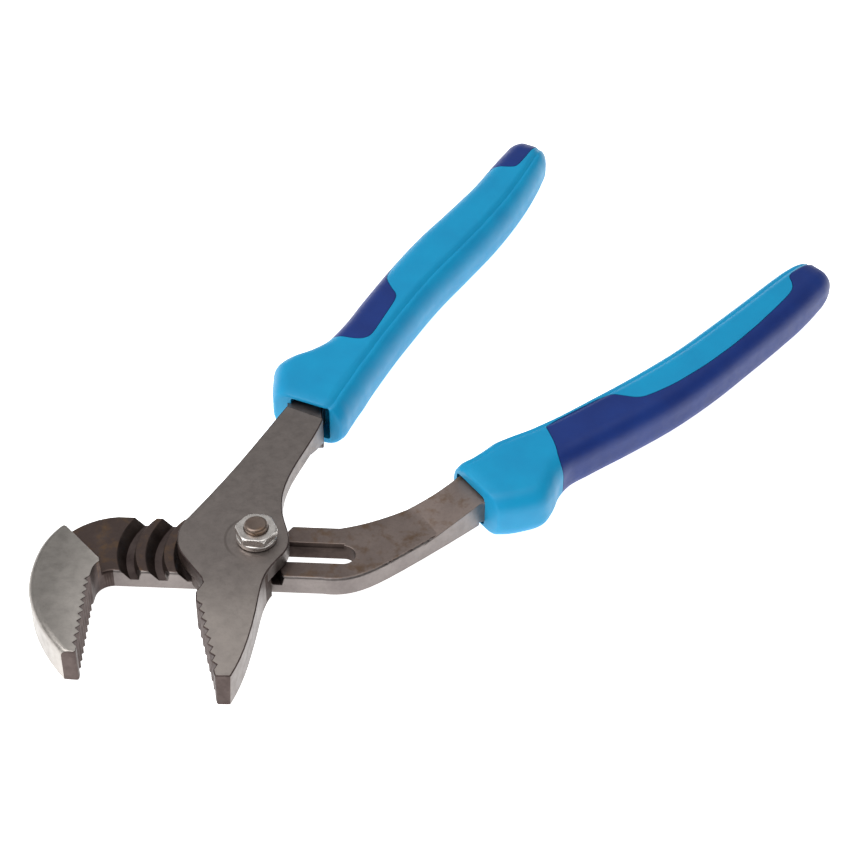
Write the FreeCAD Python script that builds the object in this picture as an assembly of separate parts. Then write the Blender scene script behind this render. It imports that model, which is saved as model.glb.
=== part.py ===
import FreeCAD, Part
import math
import os

# Tongue and groove pliers, 300 mm class.  Millimetres.  While the pieces are
# drawn, the pivot bolt's axis stands on the origin, the slot runs along X and
# Z is up from the surface the tool lies on.  The last step centres the tool.

V = FreeCAD.Vector
UP = V(0, 0, 1)

# Heights above the resting surface
STEEL_BOTTOM = 2.7
STEEL_TOP = 16.0
PLATE_TOP = 9.9
LAP_BOTTOM = 10.1

# Grooves, tongue and slot
POSITIONS = [-18.6, -9.3, 0.0, 9.3, 18.6, 27.9]
GROOVE_FLOOR_Z = 6.3
LOAD_WALL_TOP_R = 21.3
LOAD_WALL_FOOT_R = 22.1
OUTER_WALL_FOOT_R = 24.5
OUTER_WALL_TOP_R = 27.2
TONGUE_TIP_Z = 6.6
TONGUE_OUTER_R = 23.9
TONGUE_GAP = 0.3
TONGUE_START_DEG = 212.8
TONGUE_END_DEG = 231.0
SLOT_HALF_WIDTH = 4.0
SLOT_RIM = 1.0
TRACK_HALF_WIDTH = 7.0
TRACK_DEPTH = 1.0
TIP_CORNER_R = 0.8
JAW_BACK_R = 2.2
BAR_FRONT_R = 1.0

# Pivot bolt, washer and nut
BOLT_R = 3.92
BOLT_TOP = 22.9
HEAD_HALF_WIDTH = 6.9
HEAD_R = 9.0
HEAD_BOTTOM = 1.3
HOLE_R = 4.0
WASHER_R = 6.7
WASHER_BOTTOM = 16.1
WASHER_TOP = 18.2
NUT_FLATS = 12.4
NUT_TOP = 21.0
NUT_TURN_DEG = 56.0

# Jaws and teeth
TOOTH_DEPTH = 1.4
GROOVE_JAW_TEETH = 10
TONGUE_JAW_TEETH = 8

# Grips: where each mouth stands, which way the handle runs, and which side
# of the handle is the outside
GRIP_MID_Z = 9.2
GRIP_CORNER = 6.5
COAT = 1.8
A_MOUTH = (11.6, 64.8)
A_HEADING = 65.9
B_MOUTH = (67.9, 30.0)
B_HEADING = 45.4

# Moves the drawing so the middle of the tool's outline is the origin
TO_CENTRE = V(-61.62, -82.41, 0.01)


def prism(edges, z0, z1):
    face = Part.Face(Part.Wire(Part.__sortEdges__(edges)))
    face.translate(V(0, 0, z0))
    return face.extrude(V(0, 0, z1 - z0))


def polygon(points):
    closed = list(points) + [points[0]]
    return Part.makePolygon([V(x, y, 0) for x, y in closed]).Edges


def curve(points):
    spline = Part.BSplineCurve()
    spline.interpolate([V(x, y, 0) for x, y in points])
    return spline.toShape()


def line(a, b):
    return Part.makeLine(V(a[0], a[1], 0), V(b[0], b[1], 0))


def slot_shape(x0, x1, half, z0, z1):
    box = Part.makeBox(x1 - x0, 2 * half, z1 - z0, V(x0, -half, z0))
    left = Part.makeCylinder(half, z1 - z0, V(x0, 0, z0))
    right = Part.makeCylinder(half, z1 - z0, V(x1, 0, z0))
    return box.fuse([left, right]).removeSplitter()


def ring_cut(x):
    """One groove: a ring about the bolt's place at x, on the jaw's side."""
    section = [(LOAD_WALL_FOOT_R, GROOVE_FLOOR_Z), (OUTER_WALL_FOOT_R, GROOVE_FLOOR_Z),
               (OUTER_WALL_TOP_R, PLATE_TOP), (OUTER_WALL_TOP_R, PLATE_TOP + 1.0),
               (LOAD_WALL_TOP_R, PLATE_TOP + 1.0), (LOAD_WALL_TOP_R, PLATE_TOP)]
    wire = Part.makePolygon([V(r, 0, z) for r, z in section + section[:1]])
    ring = Part.Face(wire).revolve(V(0, 0, 0), UP, 130)
    ring.rotate(V(0, 0, 0), UP, 115)
    ring.translate(V(x, 0, 0))
    return ring


def tooth_gaps(first, last, count, outward, z0, z1):
    """Notches along a jaw's edge; outward points away from the steel."""
    gaps = []
    step = ((last[0] - first[0]) / count, (last[1] - first[1]) / count)
    for i in range(count):
        a = (first[0] + i * step[0], first[1] + i * step[1])
        b = (a[0] + step[0], a[1] + step[1])
        root = ((a[0] + b[0]) / 2 - outward[0] * TOOTH_DEPTH,
                (a[1] + b[1]) / 2 - outward[1] * TOOTH_DEPTH)
        lift = 1.0
        a_out = (a[0] + outward[0] * lift - step[0] * 0.3, a[1] + outward[1] * lift - step[1] * 0.3)
        b_out = (b[0] + outward[0] * lift + step[0] * 0.3, b[1] + outward[1] * lift + step[1] * 0.3)
        gaps.append(prism(polygon([a, root, b, b_out, a_out]), z0, z1))
    return gaps


# Handles -------------------------------------------------------------------
# Along each handle: distance from the mouth, how far the middle of the grip
# stands outward of the heading line, half width, half height.

A_GRIP = [(0, 1.4, 12.8, 8.6), (2, 1.8, 13.8, 9.0), (8, 3.6, 15.4, 9.2), (14, 5.0, 16.4, 9.2),
          (19, 4.4, 15.6, 9.2), (25, 2.7, 13.4, 9.1), (32, 1.2, 11.6, 9.0), (42, 0.8, 10.8, 9.0),
          (60, 0.9, 10.8, 9.0), (80, 0.6, 11.0, 9.0), (100, -0.8, 11.4, 9.0), (120, -2.8, 11.0, 9.0),
          (140, -3.8, 10.1, 8.9), (154, -3.4, 9.5, 8.7), (163, -2.9, 8.8, 8.0), (169, -2.3, 7.6, 6.8),
          (173, -1.9, 5.6, 4.8), (174.8, -1.8, 3.4, 2.6)]
B_GRIP = [(0, 2.8, 12.8, 8.6), (2, 3.2, 13.8, 9.0), (8, 5.2, 15.4, 9.2), (14, 6.2, 16.4, 9.2),
          (19, 5.2, 15.6, 9.2), (25, 4.1, 13.4, 9.1), (32, 4.0, 11.6, 9.0), (42, 5.2, 11.1, 9.0),
          (60, 7.1, 11.2, 9.0), (80, 8.6, 11.2, 9.0), (100, 8.7, 10.8, 9.0), (120, 7.4, 10.4, 9.0),
          (140, 5.7, 10.1, 8.9), (154, 4.2, 9.8, 8.7), (162, 3.2, 9.2, 8.0), (168, 2.6, 7.8, 6.8),
          (172, 2.2, 5.7, 4.8), (173.8, 2.1, 3.4, 2.6)]
A_LEAN = 0.05
B_LEAN = 0.13


def axes_of(heading, side):
    a = math.radians(heading)
    along = V(math.cos(a), math.sin(a), 0)
    outward = V(-side * math.sin(a), side * math.cos(a), 0)
    return along, outward


def rounded_section(centre, along, outward, half_width, half_height, lean):
    """A rounded rectangle standing across the handle; lean turns it in plan."""
    r = min(GRIP_CORNER, half_width * 0.8, half_height * 0.8)
    w = half_width - r
    h = half_height - r
    c = r * math.sqrt(0.5)

    def at(t, z):
        return centre + outward * t - along * (lean * t) + UP * z

    pieces = []
    for sx, sz in ((1, 1), (-1, 1), (-1, -1), (1, -1)):
        p = at(sx * (w + r), sz * h)
        m = at(sx * (w + c), sz * (h + c))
        q = at(sx * w, sz * (h + r))
        pieces.append((p, m, q) if sx * sz > 0 else (q, m, p))
    edges = []
    for i, (start, mid, end) in enumerate(pieces):
        edges.append(Part.Arc(start, mid, end).toShape())
        edges.append(Part.makeLine(end, pieces[(i + 1) % 4][0]))
    return Part.Wire(edges)


def grip_body(stations, mouth, heading, side, lean, inset):
    along, outward = axes_of(heading, side)
    start = V(mouth[0], mouth[1], GRIP_MID_Z)
    wires = []
    for s, t, w, h in stations:
        shift = -0.5 if inset and s == 0 else 0.0
        end_inset = inset * 0.6 if s > 170 else 0.0
        centre = start + along * (s + shift - end_inset) + outward * t
        turn = lean * max(0.0, 1.0 - s / 20.0)
        wires.append(rounded_section(centre, along, outward, w - inset, h - inset, turn))
    return Part.makeLoft(wires, True, False)


def tang(stations, mouth, heading, side):
    """The outer and inner edges of the flat steel that carries on inside the grip."""
    along, outward = axes_of(heading, side)
    start = V(mouth[0], mouth[1], 0)
    outer = []
    inner = []
    for s, t, w, h in stations:
        if s < 20:
            continue
        if s > 165:
            break
        half = min(6.2, w - 4.2)
        outer.append(start + along * s + outward * (t + half))
        inner.append(start + along * s + outward * (t - half))
    return outer, inner


def corners_of(points, mouth, heading, side):
    """Turns (distance from the mouth, distance outward) points into plan points."""
    along, outward = axes_of(heading, side)
    corners = []
    for s, t in points:
        p = V(mouth[0], mouth[1], 0) + along * s + outward * t
        corners.append((p.x, p.y))
    return corners


def mouth_pocket(half, mouth, heading, side, z0, z1):
    """The opening round the steel at the grip's mouth, a little wider than the steel."""
    points = [(-4, -half), (7, -half), (7, half), (-4, half)]
    pocket = prism(polygon(corners_of(points, mouth, heading, side)), z0, z1)
    upright = [e for e in pocket.Edges if abs(e.Vertexes[0].Z - e.Vertexes[-1].Z) > 1.0]
    return pocket.makeFillet(2.0, upright)


def make_grip(stations, mouth, heading, side, lean, patch, steel, pocket):
    """Base sleeve and overmould, both hollow for the steel."""
    whole = grip_body(stations, mouth, heading, side, lean, 0.0)
    core = grip_body(stations, mouth, heading, side, lean, COAT)
    region = prism(polygon(corners_of(patch, mouth, heading, side)), -5, 30)
    coat = whole.cut(core).common(region)
    sleeve = whole.cut(coat).cut(pocket).cut(steel)
    return sleeve.removeSplitter(), coat.removeSplitter()


# The overmould, seen from above: a patch over the whole top behind the
# collar, a strip along the outer side, and the end of the grip.
A_PATCH = [(32, 30), (35, 9.5), (36.6, 1.5), (38.5, -1.0), (41, -2.2), (62, -0.6), (65, 0.6), (67, 3.4),
           (70.5, 7.4), (75, 9.6), (85, 10.1), (100, 9.0), (120, 6.7), (140, 4.8), (150, 4.4), (151.5, 1.0),
           (153.5, -3.8), (156, -4.8), (190, -4.2), (190, 30)]
B_PATCH = [(25.5, 30), (28, 14), (32.5, 7.5), (35, 2.0), (36.5, -1.8), (60, 0.6), (64, 2.0), (67, 6.2),
           (70, 10.4), (75, 12.0), (85, 13.6), (100, 14.0), (115, 13.2), (130, 11.4), (145, 8.8), (153, 7.0),
           (156.5, 3.8), (158, 0.8), (161, -0.6), (190, -1.0), (190, 30)]


# Groove lever --------------------------------------------------------------

def groove_lever(outer, inner, z0, z1):
    jaw_back = curve([(-55.8, -52.2), (-62.0, -44.3), (-67.0, -35.6), (-70.4, -25.6), (-71.0, -15.5),
                      (-68.8, -3.8), (-64.8, 3.4)])
    plate_back = curve([(-60.6, 7.6), (-54.4, 11.8), (-47.6, 13.8)])
    neck_back = curve([(26.0, 12.2), (36.8, 16.2), (47.8, 22.4), (56.0, 28.2), (64.0, 35.6)])
    neck_front = curve([(22.0, -11.2), (34.5, -9.0), (42.6, -3.4), (50.7, 3.6), (60.8, 12.8), (71.5, 23.0)])
    fillet = Part.Arc(V(-51.3, -16.6, 0), V(-49.6, -12.9, 0), V(-45.8, -11.2, 0)).toShape()
    edges = [jaw_back, line((-64.8, 3.4), (-60.6, 7.6)), plate_back, line((-47.6, 13.8), (-27.0, 13.8)),
             line((-27.0, 13.8), (9.0, 12.2)), line((9.0, 12.2), (26.0, 12.2)), neck_back,
             line((64.0, 35.6), (71.5, 23.0)), neck_front, line((22.0, -11.2), (-45.8, -11.2)), fillet,
             line((-51.3, -16.6), (-51.5, -19.0)), line((-51.5, -19.0), (-51.0, -52.4)),
             line((-51.0, -52.4), (-55.8, -52.2))]
    body = prism(edges, STEEL_BOTTOM, STEEL_TOP)
    body = rounded_corners(body, [(-51.0, -52.4)])
    above_plate = prism(polygon([(-69.0, 2.4), (-66.4, 1.9), (-64.9, 3.0), (-63.6, 3.1), (-62.4, 2.4),
                                 (-49.8, -11.4), (-44.0, -30.0), (90.0, -30.0), (90.0, 60.0), (-69.0, 60.0)]),
                        PLATE_TOP, STEEL_TOP + 1)
    profile = Part.makePolygon([V(49, 0, PLATE_TOP), V(120, 0, PLATE_TOP), V(120, 0, z1), V(72, 0, z1),
                                V(49, 0, PLATE_TOP)])
    ramp = Part.Face(profile).extrude(V(0, 90, 0))
    ramp.translate(V(0, -45, 0))
    ramp.rotate(V(0, 0, 0), UP, 45)
    body = body.fuse(tang_solid(outer, inner, (64.0, 35.6), (71.5, 23.0), z0, z1))
    body = body.cut(above_plate.cut(ramp)).removeSplitter()
    body = body.makeFillet(JAW_BACK_R, [e for e in body.Edges if on_jaw_back(e)])
    body = body.makeFillet(BAR_FRONT_R, [e for e in body.Edges if on_bar_front(e)])
    slot = slot_shape(POSITIONS[0], POSITIONS[-1], SLOT_HALF_WIDTH, 0, 12)
    rim = slot_rim()
    track = slot_shape(POSITIONS[0] - 3, POSITIONS[-1] + 3, TRACK_HALF_WIDTH, 0, STEEL_BOTTOM + TRACK_DEPTH)
    grooves = [ring_cut(x) for x in POSITIONS]
    gaps = tooth_gaps((-51.5, -19.3), (-51.04, -50.0), GROOVE_JAW_TEETH, (1, 0.015), 0, 20)
    body = body.cut([slot, rim, track] + grooves + gaps)
    return body.removeSplitter()


def rounded_corners(body, corners):
    """Rounds the upright edges that stand at the given corners of the outline."""
    upright = [e for e in body.Edges if e.BoundBox.XLength < 0.01 and e.BoundBox.YLength < 0.01]
    chosen = [e for e in upright for x, y in corners
              if abs(e.BoundBox.XMin - x) < 0.01 and abs(e.BoundBox.YMin - y) < 0.01]
    return body.makeFillet(TIP_CORNER_R, chosen)


def on_jaw_back(edge):
    """True for the curved top edge of the fixed jaw's back."""
    box = edge.BoundBox
    return box.ZMin > STEEL_TOP - 0.01 and box.YLength > 30.0 and box.XMax < -55.0


def on_bar_front(edge):
    """True for the bar's top front edge, as far as the neck's rise."""
    box = edge.BoundBox
    flat = abs(box.ZMin - PLATE_TOP) < 0.01 and box.ZLength < 0.01
    return flat and box.YMin < -11.1 and box.XLength > 20.0


def slot_rim():
    """The bevel along the slot's back edge."""
    x0 = POSITIONS[0]
    corners = [V(x0, SLOT_HALF_WIDTH - 0.1, PLATE_TOP - SLOT_RIM),
               V(x0, SLOT_HALF_WIDTH, PLATE_TOP - SLOT_RIM),
               V(x0, SLOT_HALF_WIDTH + SLOT_RIM, PLATE_TOP),
               V(x0, SLOT_HALF_WIDTH - 0.1, PLATE_TOP + 0.1)]
    face = Part.Face(Part.makePolygon(corners + corners[:1]))
    return face.extrude(V(POSITIONS[-1] - x0, 0, 0))


def tang_solid(outer, inner, neck_outer, neck_inner, z0, z1):
    """Joins the neck's two corners to the tang's two edges."""
    a = [neck_outer] + [(p.x, p.y) for p in outer]
    b = [neck_inner] + [(p.x, p.y) for p in inner]
    return prism([curve(a), line(a[-1], b[-1]), curve(b), line(a[0], b[0])], z0, z1)


# Tongue lever --------------------------------------------------------------

def tongue_lever(outer, inner, z0, z1):
    left = curve([(3.8, 64.7), (-1.4, 53.5), (-9.3, 36.1), (-18.1, 18.6), (-23.4, 8.8)])
    lobe = curve([(-23.4, 8.8), (-25.4, 4.6), (-25.9, 0.0), (-25.0, -5.2), (-22.2, -10.0), (-19.0, -14.3),
                  (-15.9, -18.4)])
    right = curve([(-1.9, -60.0), (0.3, -52.6), (2.3, -40.5), (3.1, -30.0), (3.5, -21.5), (4.3, -16.4),
                   (7.5, -9.3), (10.2, -4.0), (10.5, 0.2), (8.4, 8.1), (7.0, 13.5), (6.7, 23.3), (10.0, 37.1),
                   (16.7, 58.9)])
    edges = [left, lobe, line((-15.9, -18.4), (-15.2, -20.6)), line((-15.2, -20.6), (-16.9, -24.8)),
             line((-16.9, -24.8), (-16.6, -28.0)), line((-16.6, -28.0), (-6.8, -60.2)),
             line((-6.8, -60.2), (-1.9, -60.0)), right, line((16.7, 58.9), (3.8, 64.7))]
    body = rounded_corners(prism(edges, STEEL_BOTTOM, STEEL_TOP), [(-6.8, -60.2), (-1.9, -60.0)])
    lap = prism(polygon([(-40.0, -28.5), (1.2, -11.8), (30.0, -16.8), (30.0, 47.0), (-40.0, 47.0)]),
                0, LAP_BOTTOM)
    profile = Part.makePolygon([V(0, 46.0, 0), V(0, 46.0, LAP_BOTTOM), V(0, 58.0, 5.0), V(0, 58.0, 0),
                                V(0, 46.0, 0)])
    ramp = Part.Face(profile).extrude(V(80, 0, 0))
    ramp.translate(V(-40, 0, 0))
    lap = lap.fuse(ramp)
    ring = tongue()
    body = body.cut(lap)
    body = body.fuse(ring)
    body = body.fuse(tang_solid(outer, inner, (3.8, 64.7), (16.7, 58.9), z0, z1))
    hole = Part.makeCylinder(HOLE_R, 30, V(0, 0, 0))
    gaps = tooth_gaps((-16.36, -28.8), (-7.6, -57.57), TONGUE_JAW_TEETH, (-0.957, -0.291), 0, 20)
    return body.cut([hole] + gaps).removeSplitter()


def tongue():
    """The rib that drops into a groove as the jaws close."""
    inner_top = LOAD_WALL_TOP_R + TONGUE_GAP
    inner_tip = LOAD_WALL_FOOT_R + TONGUE_GAP
    section = [(inner_tip, TONGUE_TIP_Z), (TONGUE_OUTER_R, TONGUE_TIP_Z), (TONGUE_OUTER_R, LAP_BOTTOM + 1.0),
               (inner_top, LAP_BOTTOM + 1.0), (inner_top, PLATE_TOP)]
    wire = Part.makePolygon([V(r, 0, z) for r, z in section + section[:1]])
    ring = Part.Face(wire).revolve(V(0, 0, 0), UP, TONGUE_END_DEG - TONGUE_START_DEG)
    ring.rotate(V(0, 0, 0), UP, TONGUE_START_DEG)
    return ring


# Pivot ---------------------------------------------------------------------

def pivot_bolt():
    head = slot_shape(-HEAD_R + HEAD_HALF_WIDTH, HEAD_R - HEAD_HALF_WIDTH, HEAD_HALF_WIDTH, HEAD_BOTTOM,
                      STEEL_BOTTOM + TRACK_DEPTH - 0.1)
    shank = Part.makeCylinder(BOLT_R, BOLT_TOP - HEAD_BOTTOM - 0.5, V(0, 0, HEAD_BOTTOM + 0.5))
    shank = shank.makeFillet(1.1, [e for e in shank.Edges if abs(e.BoundBox.ZMin - BOLT_TOP) < 0.01
                                   and e.BoundBox.ZLength < 0.01])
    return head.fuse(shank).removeSplitter()


def pivot_washer():
    washer = Part.makeCylinder(WASHER_R, WASHER_TOP - WASHER_BOTTOM, V(0, 0, WASHER_BOTTOM))
    bore = Part.makeCylinder(BOLT_R, 30, V(0, 0, 0))
    rims = [e for e in washer.Edges if e.BoundBox.ZLength < 0.01]
    return washer.makeFillet(0.6, rims).cut(bore)


def pivot_nut():
    radius = NUT_FLATS / math.sqrt(3)
    turns = [math.radians(60 * i + NUT_TURN_DEG) for i in range(6)]
    corners = [(radius * math.cos(a), radius * math.sin(a)) for a in turns]
    hexagon = prism(polygon(corners), WASHER_TOP, NUT_TOP)
    trim = Part.makeCone(radius + 2.3, radius - 0.75, NUT_TOP - WASHER_TOP, V(0, 0, WASHER_TOP))
    bore = Part.makeCylinder(BOLT_R, 30, V(0, 0, 0))
    return hexagon.common(trim).cut(bore)


# Assembly ------------------------------------------------------------------

def main():
    os.makedirs("parts", exist_ok=True)
    a_outer, a_inner = tang(A_GRIP, A_MOUTH, A_HEADING, 1)
    b_inner, b_outer = tang(B_GRIP, B_MOUTH, B_HEADING, -1)
    upper = tongue_lever(a_outer, a_inner, 4.0, 14.4)
    lower = groove_lever(b_outer, b_inner, 4.0, 13.4)
    a_pocket = mouth_pocket(8.6, A_MOUTH, A_HEADING, 1, 3.2, 16.9)
    b_pocket = mouth_pocket(8.8, B_MOUTH, B_HEADING, -1, 1.9, 14.3)
    a_sleeve, a_coat = make_grip(A_GRIP, A_MOUTH, A_HEADING, 1, A_LEAN, A_PATCH, upper, a_pocket)
    b_sleeve, b_coat = make_grip(B_GRIP, B_MOUTH, B_HEADING, -1, B_LEAN, B_PATCH, lower, b_pocket)
    pieces = {
        "groove_lever": lower,
        "groove_lever_grip": b_sleeve,
        "groove_lever_overmould": b_coat,
        "tongue_lever": upper,
        "tongue_lever_grip": a_sleeve,
        "tongue_lever_overmould": a_coat,
        "pivot_bolt": pivot_bolt(),
        "pivot_washer": pivot_washer(),
        "pivot_nut": pivot_nut(),
    }
    box = Part.makeCompound(list(pieces.values())).optimalBoundingBox()
    print("bounds centre", box.Center, "lowest", box.ZMin, "size", box.XLength, box.YLength, box.ZLength)
    for name, shape in pieces.items():
        moved = shape.translated(TO_CENTRE)
        moved.exportStep("parts/" + name + ".step")
        print(name, "solids", len(moved.Solids), "valid", moved.isValid(), "volume", round(moved.Volume, 1))


main()
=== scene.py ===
import math

import bmesh
import bpy
import numpy as np
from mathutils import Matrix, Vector
from mathutils.bvhtree import BVHTree


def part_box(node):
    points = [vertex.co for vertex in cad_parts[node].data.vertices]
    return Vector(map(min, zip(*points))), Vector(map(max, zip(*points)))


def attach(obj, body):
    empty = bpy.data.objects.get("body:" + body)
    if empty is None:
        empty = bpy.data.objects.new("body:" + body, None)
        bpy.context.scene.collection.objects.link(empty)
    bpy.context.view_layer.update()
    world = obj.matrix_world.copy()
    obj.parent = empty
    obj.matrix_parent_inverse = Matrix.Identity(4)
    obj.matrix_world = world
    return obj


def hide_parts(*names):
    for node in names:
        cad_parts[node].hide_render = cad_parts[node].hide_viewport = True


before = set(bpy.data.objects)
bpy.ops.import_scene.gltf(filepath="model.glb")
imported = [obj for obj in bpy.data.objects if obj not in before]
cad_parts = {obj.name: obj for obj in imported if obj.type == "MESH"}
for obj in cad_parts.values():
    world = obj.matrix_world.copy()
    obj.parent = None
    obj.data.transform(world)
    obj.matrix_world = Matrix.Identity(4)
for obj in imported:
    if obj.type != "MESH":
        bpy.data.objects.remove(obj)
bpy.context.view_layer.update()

MM = 0.001
washer_low, washer_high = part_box("pivot_washer")
PIVOT = Vector(((washer_low.x + washer_high.x) / 2, (washer_low.y + washer_high.y) / 2, 0))


def at(x, y, z=0.0):
    """A place given in millimetres from the pivot's axis, z up from the floor."""
    return PIVOT + Vector((x, y, z)) * MM


# Grips -----------------------------------------------------------------------
# Along each handle, in millimetres: distance from the mouth, how far the middle
# stands outward of the heading line, half width, half height.

TONGUE_STATIONS = [
    (0, 1.4, 12.8, 8.6), (2, 1.8, 13.8, 9.0), (8, 3.6, 15.4, 9.2), (14, 5.0, 16.4, 9.2),
    (19, 4.4, 15.6, 9.2), (25, 2.7, 13.4, 9.1), (32, 1.2, 11.6, 9.0), (42, 0.8, 10.8, 9.0),
    (60, 0.9, 10.8, 9.0), (80, 0.6, 11.0, 9.0), (100, -0.8, 11.4, 9.0), (120, -2.8, 11.0, 9.0),
    (140, -3.8, 10.1, 8.9), (154, -3.4, 9.5, 8.7), (163, -2.9, 8.9, 8.2), (169, -2.4, 8.1, 7.5),
    (171.2, -2.1, 7.3, 6.6), (172.8, -2.0, 6.3, 5.4), (173.3, -2.0, 5.2, 4.2)]
GROOVE_STATIONS = [
    (0, 2.8, 12.8, 8.6), (2, 3.2, 13.8, 9.0), (8, 5.2, 15.4, 9.2), (14, 6.2, 16.4, 9.2),
    (19, 5.2, 15.6, 9.2), (25, 4.1, 13.4, 9.1), (32, 4.0, 11.6, 9.0), (42, 5.2, 11.1, 9.0),
    (60, 7.1, 11.2, 9.0), (80, 8.6, 11.2, 9.0), (100, 8.7, 10.8, 9.0), (120, 7.4, 10.4, 9.0),
    (140, 5.7, 10.1, 8.9), (154, 4.2, 9.8, 8.7), (162, 3.2, 9.3, 8.2), (168, 2.6, 8.4, 7.5),
    (170.8, 2.3, 7.5, 6.6), (172.4, 2.2, 6.4, 5.4), (172.9, 2.2, 5.3, 4.2)]
TONGUE_PATCH = [
    (32, 30), (35, 9.5), (36.6, 1.5), (38.5, -1.0), (41, -2.2), (62, -0.6), (65, 0.6), (67, 3.4),
    (70.5, 7.4), (75, 9.6), (85, 10.1), (100, 9.0), (120, 6.7), (140, 4.8), (150, 4.4), (151.5, 1.0),
    (153.5, -3.8), (156, -4.8), (190, -4.2), (190, 30)]
GROOVE_PATCH = [
    (25.5, 30), (28, 14), (32.5, 7.5), (35, 2.0), (36.5, -1.8), (60, 0.6), (64, 2.0), (67, 6.2),
    (70, 10.4), (75, 12.0), (85, 13.6), (100, 14.0), (115, 13.2), (130, 11.4), (145, 8.8), (153, 7.0),
    (156.5, 3.8), (158, 0.8), (161, -0.6), (190, -1.0), (190, 30)]
GRIPS = {
    "tongue": dict(stations=TONGUE_STATIONS, patch=TONGUE_PATCH, mouth=(11.6, 64.8), heading=65.9,
                   side=1, lean=0.05, pocket=(7.4, 3.2, 16.9)),
    "groove": dict(stations=GROOVE_STATIONS, patch=GROOVE_PATCH, mouth=(67.9, 30.0), heading=45.4,
                   side=-1, lean=0.13, pocket=(7.7, 1.9, 14.3)),
}
MID_Z = 9.2
CORNER_R = 6.5
CREASE_IN = 5.5
CREASE_DEG = 65.0
CREASE_SINK = 0.8
CREASE_SPREAD = 0.9
RIM_R = 0.9
COAT = 1.2
PARTING_GAP = 0.2
STEP_MM = 1.0
PATCH_HEIGHTS = (-5, 30)
POCKET_ENDS = (-4, 7)
POCKET_ROUND_MM = 1.2
GRIP_SMOOTH_DEG = 32


def smooth_track(stations, s):
    """Middle, half width and half height at s, on a curve through the stations."""
    table = np.array(stations, float)
    xs, ys = table[:, 0], table[:, 1:]
    slopes = np.gradient(ys, xs, axis=0)
    i = int(np.clip(np.searchsorted(xs, s) - 1, 0, len(xs) - 2))
    h = xs[i + 1] - xs[i]
    u = (s - xs[i]) / h
    a = 2 * u**3 - 3 * u**2 + 1
    b = u**3 - 2 * u**2 + u
    c = -2 * u**3 + 3 * u**2
    d = u**3 - u**2
    return a * ys[i] + b * h * slopes[i] + c * ys[i + 1] + d * h * slopes[i + 1]


def arc(cx, cz, rx, rz, start, end, count):
    turns = [math.radians(start + (end - start) * k / count) for k in range(count)]
    return [(cx + rx * math.cos(a), cz + rz * math.sin(a)) for a in turns]


def run(a, b, count):
    return [(a[0] + (b[0] - a[0]) * k / count, a[1] + (b[1] - a[1]) * k / count) for k in range(count)]


def section(w, h):
    """Outline of the grip across the handle: round outside, creased along the top's inner edge."""
    r = min(CORNER_R, 0.8 * w, 0.8 * h)
    crease = min(CREASE_IN, 0.5 * w, 0.6 * h)
    big = crease / (1 - math.cos(math.radians(CREASE_DEG)))
    drop = big * math.sin(math.radians(CREASE_DEG))
    points = arc(w - r, r - h, r, r, -90, 0, 8)
    points += run((w, r - h), (w, h - r), 3)
    points += arc(w - r, h - r, r, r, 0, 90, 10)
    points += run((w - r, h), (crease - w, h), 14)
    points += arc(big - w, h - drop, big, big, 180 - CREASE_DEG, 180, 16)
    points += run((-w, h - drop), (-w, r - h), 3)
    points += arc(r - w, r - h, r, r, 180, 270, 8)
    points += run((r - w, -h), (w - r, -h), 8)
    valley = crease - w - 0.3
    return [(t, z - CREASE_SINK * math.exp(-((t - valley) / CREASE_SPREAD) ** 2) if z > 0 else z)
            for t, z in points]


def handle_axes(heading, side):
    a = math.radians(heading)
    along = Vector((math.cos(a), math.sin(a), 0))
    outward = Vector((-side * math.sin(a), side * math.cos(a), 0))
    return along, outward


def skin_rows(grip, inset):
    """Distances along the grip and how far in the skin lies there: the mouth's edge is rounded."""
    last = grip["stations"][-1][0]
    rows = []
    for k in range(5):
        a = math.radians(90 * k / 4)
        rows.append((RIM_R * (1 - math.cos(a)), RIM_R * (1 - math.sin(a))))
    count = int((last - 3) / STEP_MM)
    rows += [(3 + (last - 3) * k / count, 0.0) for k in range(count + 1)]
    if inset:
        rows = [(min(s, last - inset), inset) for s, _ in rows[6:-2]]
    return rows


def grip_skin(name, grip, inset=0.0):
    along, outward = handle_axes(grip["heading"], grip["side"])
    start = at(*grip["mouth"], MID_Z)
    bm = bmesh.new()
    rings = []
    for s, pull in skin_rows(grip, inset):
        middle, w, h = smooth_track(grip["stations"], s)
        turn = grip["lean"] * max(0.0, 1 - s / 20)
        ring = []
        for t, z in section(w - pull, h - pull):
            place = along * (s - turn * t) + outward * (middle + t) + Vector((0, 0, z))
            ring.append(bm.verts.new(start + place * MM))
        rings.append(ring)
    for a, b in zip(rings, rings[1:]):
        for k in range(len(a)):
            n = (k + 1) % len(a)
            bm.faces.new((a[k], a[n], b[n], b[k]))
    bm.faces.new(rings[0][::-1])
    bm.faces.new(rings[-1])
    bmesh.ops.recalc_face_normals(bm, faces=bm.faces)
    return new_object(name, bm)


def new_object(name, bm):
    mesh = bpy.data.meshes.new(name)
    bm.to_mesh(mesh)
    bm.free()
    obj = bpy.data.objects.new(name, mesh)
    bpy.context.scene.collection.objects.link(obj)
    return obj


def round_corners(points, times):
    """Cuts each corner of a closed outline, again and again, until it runs smoothly."""
    for _ in range(times):
        cut = []
        for k, p in enumerate(points):
            q = points[(k + 1) % len(points)]
            reach = min(0.25, 2.0 / max(math.dist(p, q), 0.001))
            cut.append((p[0] + (q[0] - p[0]) * reach, p[1] + (q[1] - p[1]) * reach))
            cut.append((q[0] + (p[0] - q[0]) * reach, q[1] + (p[1] - q[1]) * reach))
        points = cut
    return points


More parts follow.
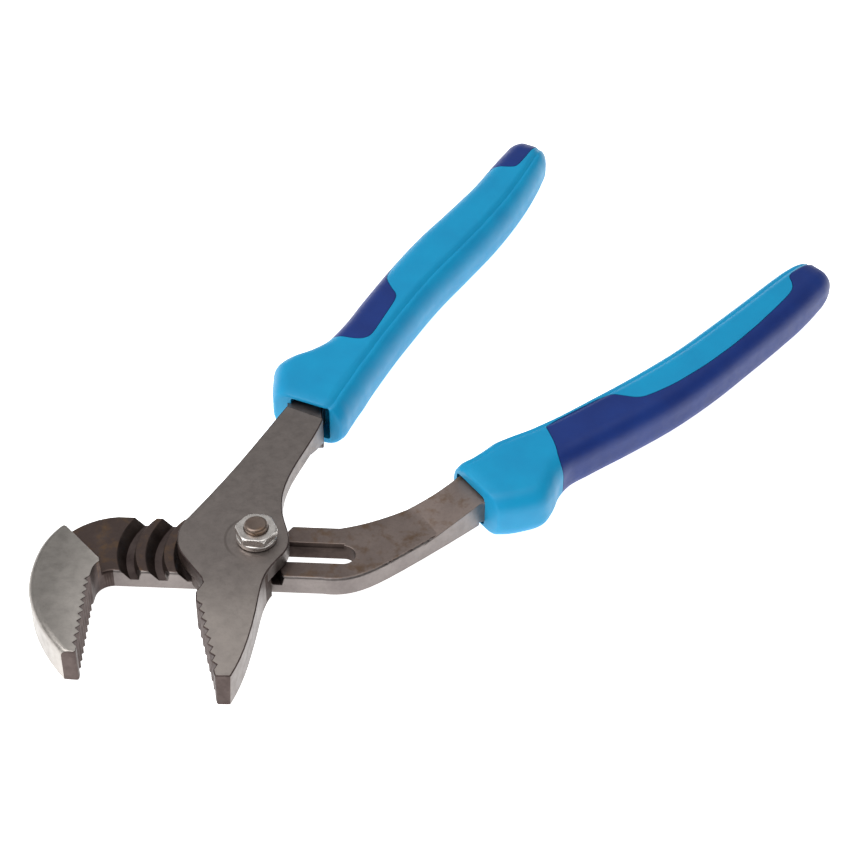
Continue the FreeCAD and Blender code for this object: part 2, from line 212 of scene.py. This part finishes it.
def grown(points, by):
    """The outline moved outward by a constant distance."""
    area = sum(p[0] * q[1] - q[0] * p[1] for p, q in zip(points, points[1:] + points[:1]))
    way = 1 if area > 0 else -1
    moved = []
    for k, p in enumerate(points):
        a, b = points[k - 1], points[(k + 1) % len(points)]
        d = Vector((b[0] - a[0], b[1] - a[1])).normalized()
        moved.append((p[0] + d.y * by * way, p[1] - d.x * by * way))
    return moved


def block(name, points, grip, z0, z1):
    """A prism whose outline is given along and outward of a handle."""
    along, outward = handle_axes(grip["heading"], grip["side"])
    start = at(*grip["mouth"])
    bm = bmesh.new()
    low = [bm.verts.new(start + (along * s + outward * t + Vector((0, 0, z0))) * MM) for s, t in points]
    face = bm.faces.new(low)
    moved = bmesh.ops.extrude_face_region(bm, geom=[face])["geom"]
    lift = Vector((0, 0, (z1 - z0) * MM))
    bmesh.ops.translate(bm, vec=lift, verts=[v for v in moved if isinstance(v, bmesh.types.BMVert)])
    bmesh.ops.recalc_face_normals(bm, faces=bm.faces)
    return new_object(name, bm)


def cut(obj, tool, how):
    """Applies a boolean with tool to obj's mesh."""
    change = obj.modifiers.new("cut", "BOOLEAN")
    change.operation = how
    change.object = tool
    change.solver = "EXACT"
    apply_modifiers(obj)


def apply_modifiers(obj):
    graph = bpy.context.evaluated_depsgraph_get()
    mesh = bpy.data.meshes.new_from_object(obj.evaluated_get(graph))
    obj.modifiers.clear()
    old = obj.data
    obj.data = mesh
    bpy.data.meshes.remove(old)


def smooth(obj, degrees):
    obj.data.shade_smooth()
    obj.data.set_sharp_from_angle(angle=math.radians(degrees))


def make_grip(which, body):
    """The light sleeve and the dark overmould let into it."""
    grip = GRIPS[which]
    outline = round_corners(grip["patch"], 3)
    core = grip_skin("core", grip, COAT)
    inner_block = block("inner_block", outline, grip, *PATCH_HEIGHTS)
    outer_block = block("outer_block", grown(outline, PARTING_GAP), grip, *PATCH_HEIGHTS)
    cut(inner_block, core, "DIFFERENCE")
    cut(outer_block, core, "DIFFERENCE")
    coat = grip_skin(which + "_overmould", grip)
    cut(coat, inner_block, "INTERSECT")
    sleeve = grip_skin(which + "_sleeve", grip)
    cut(sleeve, outer_block, "DIFFERENCE")
    half, low, high = grip["pocket"]
    front, back = POCKET_ENDS
    corners = [(front, -half), (back, -half), (back, half), (front, half)]
    pocket = block("pocket", corners, grip, low, high)
    soften = pocket.modifiers.new("soften", "BEVEL")
    soften.width = POCKET_ROUND_MM * MM
    soften.segments = 4
    cut(sleeve, pocket, "DIFFERENCE")
    for helper in (core, inner_block, outer_block, pocket):
        bpy.data.objects.remove(helper)
    for piece, material, record_slot, node in (
            (sleeve, light_grip, "light_grip", which + "_lever_grip"),
            (coat, dark_grip, "dark_grip", which + "_lever_overmould")):
        smooth(piece, GRIP_SMOOTH_DEG)
        piece.data.materials.clear()
        piece.data.materials.append(material)
        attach(piece, body)
        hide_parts(node)


# Materials -------------------------------------------------------------------

class Nodes:
    """A short way to write a material's nodes."""

    def __init__(self, name):
        self.material = bpy.data.materials.new(name)
        self.material.use_nodes = True
        self.tree = self.material.node_tree
        self.shader = self.tree.nodes["Principled BSDF"]
        self.place = self.add("ShaderNodeTexCoord").outputs["Object"]

    def add(self, kind, **settings):
        node = self.tree.nodes.new(kind)
        for key, value in settings.items():
            setattr(node, key, value)
        return node

    def link(self, a, b):
        self.tree.links.new(a, b)

    def noise(self, size_mm, detail=4.0, rough=0.55, stretch=(1, 1, 1), turn=0.0):
        """Cloudy noise whose lumps are about size_mm across."""
        mapping = self.add("ShaderNodeMapping")
        mapping.inputs["Scale"].default_value = stretch
        mapping.inputs["Rotation"].default_value = (0, 0, math.radians(turn))
        self.link(self.place, mapping.inputs["Vector"])
        node = self.add("ShaderNodeTexNoise")
        node.inputs["Scale"].default_value = 1 / (size_mm * MM)
        node.inputs["Detail"].default_value = detail
        node.inputs["Roughness"].default_value = rough
        self.link(mapping.outputs["Vector"], node.inputs["Vector"])
        return node.outputs["Fac"]

    def ramp(self, value, stops):
        node = self.add("ShaderNodeValToRGB")
        ramp = node.color_ramp
        while len(ramp.elements) < len(stops):
            ramp.elements.new(0.5)
        for element, (position, colour) in zip(ramp.elements, stops):
            element.position = position
            element.color = (*colour, 1) if isinstance(colour, tuple) else (colour, colour, colour, 1)
        self.link(value, node.inputs["Fac"])
        return node.outputs["Color"]

    def mix(self, factor, a, b):
        node = self.add("ShaderNodeMix", data_type="RGBA")
        for value, slot in ((factor, 0), (a, 6), (b, 7)):
            if isinstance(value, bpy.types.NodeSocket):
                self.link(value, node.inputs[slot])
            elif isinstance(value, tuple):
                node.inputs[slot].default_value = (*value, 1)
            else:
                node.inputs[slot].default_value = value
        return node.outputs[2]

    def math(self, how, a, b):
        node = self.add("ShaderNodeMath", operation=how)
        for value, slot in ((a, 0), (b, 1)):
            if isinstance(value, bpy.types.NodeSocket):
                self.link(value, node.inputs[slot])
            else:
                node.inputs[slot].default_value = value
        return node.outputs[0]

    def bump(self, layers):
        """Stacks (height, depth in mm, strength) bumps into the shader's normal."""
        normal = None
        for height, depth, strength in layers:
            node = self.add("ShaderNodeBump")
            node.inputs["Strength"].default_value = strength
            node.inputs["Distance"].default_value = depth * MM
            self.link(height, node.inputs["Height"])
            if normal is not None:
                self.link(normal, node.inputs["Normal"])
            normal = node.outputs["Normal"]
        self.link(normal, self.shader.inputs["Normal"])


def srgb(r, g, b):
    """Linear colour of an 8-bit display colour."""
    return tuple((c / 255 / 12.92) if c <= 10 else ((c / 255 + 0.055) / 1.055) ** 2.4 for c in (r, g, b))


def steel(name, dark, light, roughness, patch_mm=9.0, grain=0.0, turn=0.0, pits=0.008, stain=None,
          ring_mark=False, fade=None):
    """Bare steel: broad tone changes, ground lines where grain is given, small pits, a faint ring mark
    and stain.
    fade = (axis, from, to) in mm from the pivot turns the tone from dark to light along it."""
    n = Nodes(name)
    broad = n.noise(patch_mm * 2.2, 3.0)
    fine = n.noise(1.1, 5.0, 0.6)
    amount = broad
    if fade is not None:
        axis, start, end = fade
        split = n.add("ShaderNodeSeparateXYZ")
        n.link(n.place, split.inputs[0])
        reach = n.add("ShaderNodeMapRange")
        n.link(split.outputs[axis], reach.inputs["Value"])
        reach.inputs["From Min"].default_value = getattr(PIVOT, axis.lower()) + start * MM
        reach.inputs["From Max"].default_value = getattr(PIVOT, axis.lower()) + end * MM
        amount = n.math("ADD", n.math("MULTIPLY", broad, 0.45), n.math("MULTIPLY", reach.outputs[0], 0.5))
    tone = n.ramp(amount, [(0.3, dark), (0.66, light)])
    speck = n.ramp(fine, [(0.36, 0.78), (0.56, 1.0)])
    shade = n.add("ShaderNodeMix", data_type="RGBA", blend_type="MULTIPLY")
    shade.inputs[0].default_value = 0.35
    n.link(tone, shade.inputs[6])
    n.link(speck, shade.inputs[7])
    result = shade.outputs[2]
    if stain is not None:
        amount = n.ramp(n.noise(5.0, 4.0, 0.6), [(0.5, 0.0), (0.68, 0.75)])
        result = n.mix(amount, result, stain)
    if ring_mark:
        result = n.mix(pivot_ring(n), result, srgb(92, 84, 80))
    n.link(result, n.shader.inputs["Base Color"])
    n.shader.inputs["Metallic"].default_value = 1.0
    rough = n.ramp(n.noise(3.0, 4.0), [(0.3, roughness - 0.06), (0.7, roughness + 0.08)])
    n.link(rough, n.shader.inputs["Roughness"])
    layers = [(n.noise(0.35, 3.0, 0.6), pits, 0.5), (broad, 0.10, 0.25)]
    if grain:
        lines = n.noise(0.5, 4.0, 0.7, (0.04, 1.0, 1.0), turn)
        layers.append((lines, grain, 0.6))
    n.bump(layers)
    return n.material


RING_R_MM = 10.3


def pivot_ring(n):
    """A faint darker arc 10.3 mm from the pivot's axis, on the pivot's left."""
    offset = n.add("ShaderNodeVectorMath", operation="SUBTRACT")
    n.link(n.place, offset.inputs[0])
    offset.inputs[1].default_value = (PIVOT.x, PIVOT.y, 0)
    split = n.add("ShaderNodeSeparateXYZ")
    n.link(offset.outputs[0], split.inputs[0])
    squares = [n.math("MULTIPLY", split.outputs[axis], split.outputs[axis]) for axis in ("X", "Y")]
    radius = n.math("SQRT", n.math("ADD", *squares), 0.0)
    band = n.math("ABSOLUTE", n.math("SUBTRACT", radius, RING_R_MM * MM), 0.0)
    inside = n.ramp(n.math("DIVIDE", band, 1.0 * MM), [(0.2, 0.5), (0.6, 0.0)])
    left = n.ramp(n.math("DIVIDE", split.outputs["X"], -10.0 * MM), [(0.4, 0.0), (0.9, 1.0)])
    return n.math("MULTIPLY", inside, left)


def rubber(name, base, deep, gloss, roughness):
    """Moulded soft grip: fine spark-eroded texture, slight tone changes, satin."""
    n = Nodes(name)
    tone = n.ramp(n.noise(14.0, 3.0), [(0.3, deep), (0.7, base)])
    n.link(tone, n.shader.inputs["Base Color"])
    rough = n.ramp(n.noise(4.0, 4.0), [(0.3, roughness - 0.04), (0.7, roughness + 0.06)])
    n.link(rough, n.shader.inputs["Roughness"])
    n.shader.inputs["Specular IOR Level"].default_value = gloss
    n.bump([(n.noise(0.28, 2.0, 0.5), 0.02, 0.5), (n.noise(9.0, 2.0), 0.06, 0.3)])
    return n.material


light_grip = rubber("light_grip_rubber", srgb(0, 150, 198), srgb(0, 141, 190), 0.34, 0.44)
dark_grip = rubber("dark_grip_rubber", srgb(16, 50, 124), srgb(12, 42, 112), 0.34, 0.44)
# The fade paints the tongue lever's top darker near the pivot and lighter towards the jaw: a painted
# gradient of reflected light.
ground = steel("ground_steel", srgb(136, 128, 124), srgb(172, 163, 157), 0.38, 11, 0.012, 60,
               ring_mark=True, fade=("Y", -8, -42))
# The fade paints the fixed jaw darker on the left and lighter on the right: a painted sheen.
bright_ground = steel("bright_ground_steel", srgb(148, 143, 138), srgb(184, 178, 172), 0.36, 10, 0.02, 82,
                      fade=("X", -66, -50))
forged = steel("forged_steel", srgb(86, 74, 70), srgb(134, 121, 115), 0.46, 6, 0.0, 0, 0.02,
               srgb(108, 86, 66), fade=("X", -44, 60))
side_steel = steel("side_steel", srgb(112, 105, 103), srgb(132, 125, 122), 0.42, 8)
dark_steel = steel("dark_steel", srgb(70, 60, 58), srgb(94, 83, 80), 0.5, 4, 0.0, 0, 0.02)
# The darkest steel: painted shade on the walls of the grooves and the slot, and on the tongue lever's
# lobe and low sides.
painted_shade_steel = steel("painted_shade_steel", srgb(60, 50, 47), srgb(86, 74, 69), 0.55, 4, 0.0, 0, 0.02)
plated = steel("plated_steel", srgb(196, 190, 186), srgb(232, 227, 222), 0.28, 6, pits=0.001)
bolt_steel = steel("bolt_steel", srgb(112, 98, 90), srgb(142, 128, 119), 0.38, 5, pits=0.001,
                   stain=srgb(122, 98, 78))


# Steel -----------------------------------------------------------------------

SHARP_DEG = 24.0
FLAT_DEG = 0.4
WELD_MM = 0.03
SLIVER_MM = 0.05
STRAY_WIDTHS = 1.5
STEEL_SMOOTH_DEG = 40
LARGE_FACE_WEIGHT = 60
TONGUE_TOP, TONGUE_SIDE, TONGUE_DARK, TONGUE_PAINTED_SHADE = range(4)
GROOVE_TOP, GROOVE_BRIGHT, GROOVE_DARK, GROOVE_SIDE, GROOVE_PAINTED_SHADE = range(5)


def steel_copy(node, name, segments, width_mm, pick, palette, edge_material=-1, shape=None):
    """A copy of a CAD piece with its outer edges worn round, width_mm wide; pick gives each face a
    material's number, shape moves points of the copy."""
    bm = bmesh.new()
    bm.from_mesh(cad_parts[node].data)
    bmesh.ops.remove_doubles(bm, verts=bm.verts, dist=WELD_MM * MM)
    bmesh.ops.dissolve_degenerate(bm, dist=WELD_MM * MM, edges=bm.edges)
    bmesh.ops.dissolve_limit(bm, angle_limit=math.radians(FLAT_DEG), verts=bm.verts, edges=bm.edges)
    weight = bm.edges.layers.float.new("bevel_weight_edge")
    for edge in bm.edges:
        middle = from_pivot((edge.verts[0].co + edge.verts[1].co) / 2)
        sharp = edge.is_convex and edge.calc_face_angle(0.0) > math.radians(SHARP_DEG)
        if sharp and not at_jaw_apex(middle):
            edge[weight] = 1.0
    for face in bm.faces:
        face.material_index = pick(from_pivot(face.calc_center_median()), face.normal)
    obj = new_object(name, bm)
    for material in palette:
        obj.data.materials.append(material)
    worked = obj.modifiers.new("worked_edges", "BEVEL")
    worked.width = width_mm * MM
    worked.segments = segments
    worked.limit_method = "WEIGHT"
    worked.use_clamp_overlap = False
    worked.miter_outer = "MITER_ARC"
    worked.material = edge_material
    apply_modifiers(obj)
    pull_back(obj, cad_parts[node].data, STRAY_WIDTHS * width_mm * MM)
    if shape is not None:
        for vert in obj.data.vertices:
            vert.co += shape(from_pivot(vert.co)) * MM
    join_flat_faces(obj)
    smooth(obj, STEEL_SMOOTH_DEG)
    even = obj.modifiers.new("even_shading", "WEIGHTED_NORMAL")
    even.weight = LARGE_FACE_WEIGHT
    even.keep_sharp = True
    apply_modifiers(obj)
    return obj


def join_flat_faces(obj):
    """Drops slivers and joins faces of one material that lie in one plane."""
    bm = bmesh.new()
    bm.from_mesh(obj.data)
    bmesh.ops.dissolve_degenerate(bm, dist=SLIVER_MM * MM, edges=bm.edges)
    bmesh.ops.dissolve_limit(bm, angle_limit=math.radians(FLAT_DEG), verts=bm.verts, edges=bm.edges,
                             delimit={"MATERIAL"})
    bm.to_mesh(obj.data)
    bm.free()


def pull_back(obj, source, limit):
    """Points that the rounding threw clear of the steel at a tight corner go back to its surface."""
    tree = BVHTree.FromPolygons([v.co for v in source.vertices], [p.vertices[:] for p in source.polygons])
    for vert in obj.data.vertices:
        nearest, _, _, distance = tree.find_nearest(vert.co)
        if distance > limit:
            vert.co = nearest


def at_jaw_apex(p):
    """Where the rounding of the fixed jaw's back runs out, too tight for a worn edge."""
    return p.x < -60 and p.y > -2 and p.z > 12


def from_pivot(point):
    """A point in millimetres from the pivot's axis."""
    return (point - PIVOT) / MM


def ease(value, low, high):
    """0 below low, 1 above high, smooth between."""
    u = min(1.0, max(0.0, (value - low) / (high - low)))
    return u * u * (3 - 2 * u)


def tongue_face(p, normal):
    if normal.z > 0.9 and p.z > 15:
        return TONGUE_TOP
    if p.y < -59.5 and normal.y < -0.8:
        return TONGUE_DARK
    if p.y < -20 and p.x < 0 and abs(normal.z) < 0.5 and normal.x < 0.3:
        return TONGUE_DARK
    # The lobe's sides left of the pivot and the low sides over the grooved lever get the darkest steel:
    # painted shade.
    if abs(normal.z) < 0.5 and p.x < -14 and -20 < p.y < 6:
        return TONGUE_PAINTED_SHADE
    return TONGUE_SIDE if p.z > 9 or p.y < -20 or p.y > 40 else TONGUE_PAINTED_SHADE


DRAFT_MM = 0.7
DRAFT_TOP_Z = 16.0
DRAFT_HEIGHT = 13.3


def tongue_draft(p):
    """The jaw's right side leans in towards the bottom."""
    if p.y > -16 or p.x < -3.5:
        return Vector((0, 0, 0))
    depth = (DRAFT_TOP_Z - p.z) / DRAFT_HEIGHT
    return Vector((-DRAFT_MM * depth * ease(-p.y, 16, 40), 0, 0))


def groove_face(p, normal):
    flat = abs(normal.z) < 0.5
    if p.y < -49 and normal.y < -0.8:
        return GROOVE_DARK
    if p.z > 13.5 and p.x < -49 and abs(normal.x) < 0.9:
        return GROOVE_BRIGHT
    if flat and p.x < -55:
        return GROOVE_BRIGHT
    if flat and p.x < -49 and p.y < -14:
        return GROOVE_DARK
    # The slot's walls get the darkest steel: painted shade.
    if flat and abs(p.y) < 4.6 and -24 < p.x < 34:
        return GROOVE_PAINTED_SHADE
    if p.x > -46 and normal.y < -0.4 and p.y < -10 + 0.9 * max(0.0, p.x - 22):
        return GROOVE_SIDE
    if p.z > 9.8:
        return GROOVE_TOP
    # Steep faces in the ridged zone, among them the grooves' walls, get the darkest steel, and the faces
    # left below the top, among them the grooves' floors, get dark steel: painted shade.
    painted_shade_wall = -49 < p.x < 30 and p.z > 6 and abs(normal.z) < 0.8
    return GROOVE_PAINTED_SHADE if painted_shade_wall else GROOVE_DARK


def dress(obj, body, slot, *nodes):
    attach(obj, body)
    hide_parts(*nodes)


tongue_steel = steel_copy("tongue_lever", "tongue_lever_steel", 2, 0.4, tongue_face,
                          [ground, side_steel, dark_steel, painted_shade_steel], TONGUE_DARK, tongue_draft)
dress(tongue_steel, "tongue_side", "ground_steel", "tongue_lever")
groove_steel = steel_copy("groove_lever", "groove_lever_steel", 2, 0.3, groove_face,
                          [forged, bright_ground, dark_steel, side_steel, painted_shade_steel])
dress(groove_steel, "groove_side", "forged_steel", "groove_lever")
for part, rounding, material in (("pivot_nut", 0.3, plated), ("pivot_washer", 0.1, plated),
                                 ("pivot_bolt", 0.2, bolt_steel)):
    piece = steel_copy(part, part + "_steel", 3, rounding, lambda p, normal: 0, [material])
    dress(piece, "pivot", "plated_steel", part)
make_grip("tongue", "tongue_side")
make_grip("groove", "groove_side")


# Studio ----------------------------------------------------------------------

FLOOR_SIZE = 3.0
FLOOR_GLOW = 1.1
ROOM_TONES = [(0.0, 0.50), (0.4, 0.40), (0.7, 0.27), (1.0, 0.22)]
KEY_SIZE, KEY_POWER = (1.1, 1.1), 12.5
FILL_SIZE, FILL_POWER = (1.4, 1.4), 6.8
LENS, SENSOR = 105.4, 36.0


def make_floor():
    bm = bmesh.new()
    bmesh.ops.create_grid(bm, x_segments=1, y_segments=1, size=FLOOR_SIZE)
    floor = new_object("floor", bm)
    n = Nodes("floor_paint")
    tone = n.ramp(n.noise(400.0, 2.0), [(0.3, (0.9, 0.9, 0.9)), (0.7, (0.93, 0.93, 0.93))])
    n.link(tone, n.shader.inputs["Base Color"])
    n.shader.inputs["Roughness"].default_value = 0.9
    n.shader.inputs["Emission Color"].default_value = (1, 1, 1, 1)
    n.shader.inputs["Emission Strength"].default_value = FLOOR_GLOW
    floor.data.materials.append(n.material)


def make_world():
    """A dim grey room, lighter on the left, so that the floor is what shines in the steel's sides."""
    world = bpy.data.worlds.new("studio")
    world.use_nodes = True
    bpy.context.scene.world = world
    tree = world.node_tree
    place = tree.nodes.new("ShaderNodeTexCoord")
    split = tree.nodes.new("ShaderNodeSeparateXYZ")
    tree.links.new(place.outputs["Generated"], split.inputs[0])
    ramp = tree.nodes.new("ShaderNodeValToRGB")
    while len(ramp.color_ramp.elements) < len(ROOM_TONES):
        ramp.color_ramp.elements.new(0.5)
    for element, (position, value) in zip(ramp.color_ramp.elements, ROOM_TONES):
        element.position = position
        element.color = (value, value, value, 1)
    lift = tree.nodes.new("ShaderNodeMath")
    lift.operation = "MULTIPLY_ADD"
    lift.inputs[1].default_value = 0.5
    lift.inputs[2].default_value = 0.5
    tree.links.new(split.outputs["X"], lift.inputs[0])
    tree.links.new(lift.outputs[0], ramp.inputs["Fac"])
    background = tree.nodes["Background"]
    tree.links.new(ramp.outputs["Color"], background.inputs["Color"])
    background.inputs["Strength"].default_value = 1.0


def area_light(name, place, target, size, power):
    light = bpy.data.lights.new(name, "AREA")
    light.shape = "RECTANGLE"
    light.size, light.size_y = size
    light.energy = power
    obj = bpy.data.objects.new(name, light)
    bpy.context.scene.collection.objects.link(obj)
    obj.location = place
    obj.rotation_euler = (target - place).to_track_quat("-Z", "Y").to_euler()


def make_camera():
    camera_data = bpy.data.cameras.new("camera")
    camera_data.lens = LENS
    camera_data.sensor_width = SENSOR
    camera_data.clip_start = 0.01
    camera = bpy.data.objects.new("camera", camera_data)
    bpy.context.scene.collection.objects.link(camera)
    camera.location = at(85.1, -570.5, 589.2)
    aim = at(52.3, 56.3, 16.0) - camera.location
    camera.rotation_euler = aim.to_track_quat("-Z", "Y").to_euler()
    bpy.context.scene.camera = camera


make_floor()
make_world()
centre = at(20, 40, 0)
area_light("key", Vector((-0.75, -0.35, 1.15)), centre, KEY_SIZE, KEY_POWER)
area_light("fill", Vector((0.0, 0.1, 1.5)), centre, FILL_SIZE, FILL_POWER)
make_camera()
bpy.context.scene.view_settings.view_transform = "Standard"
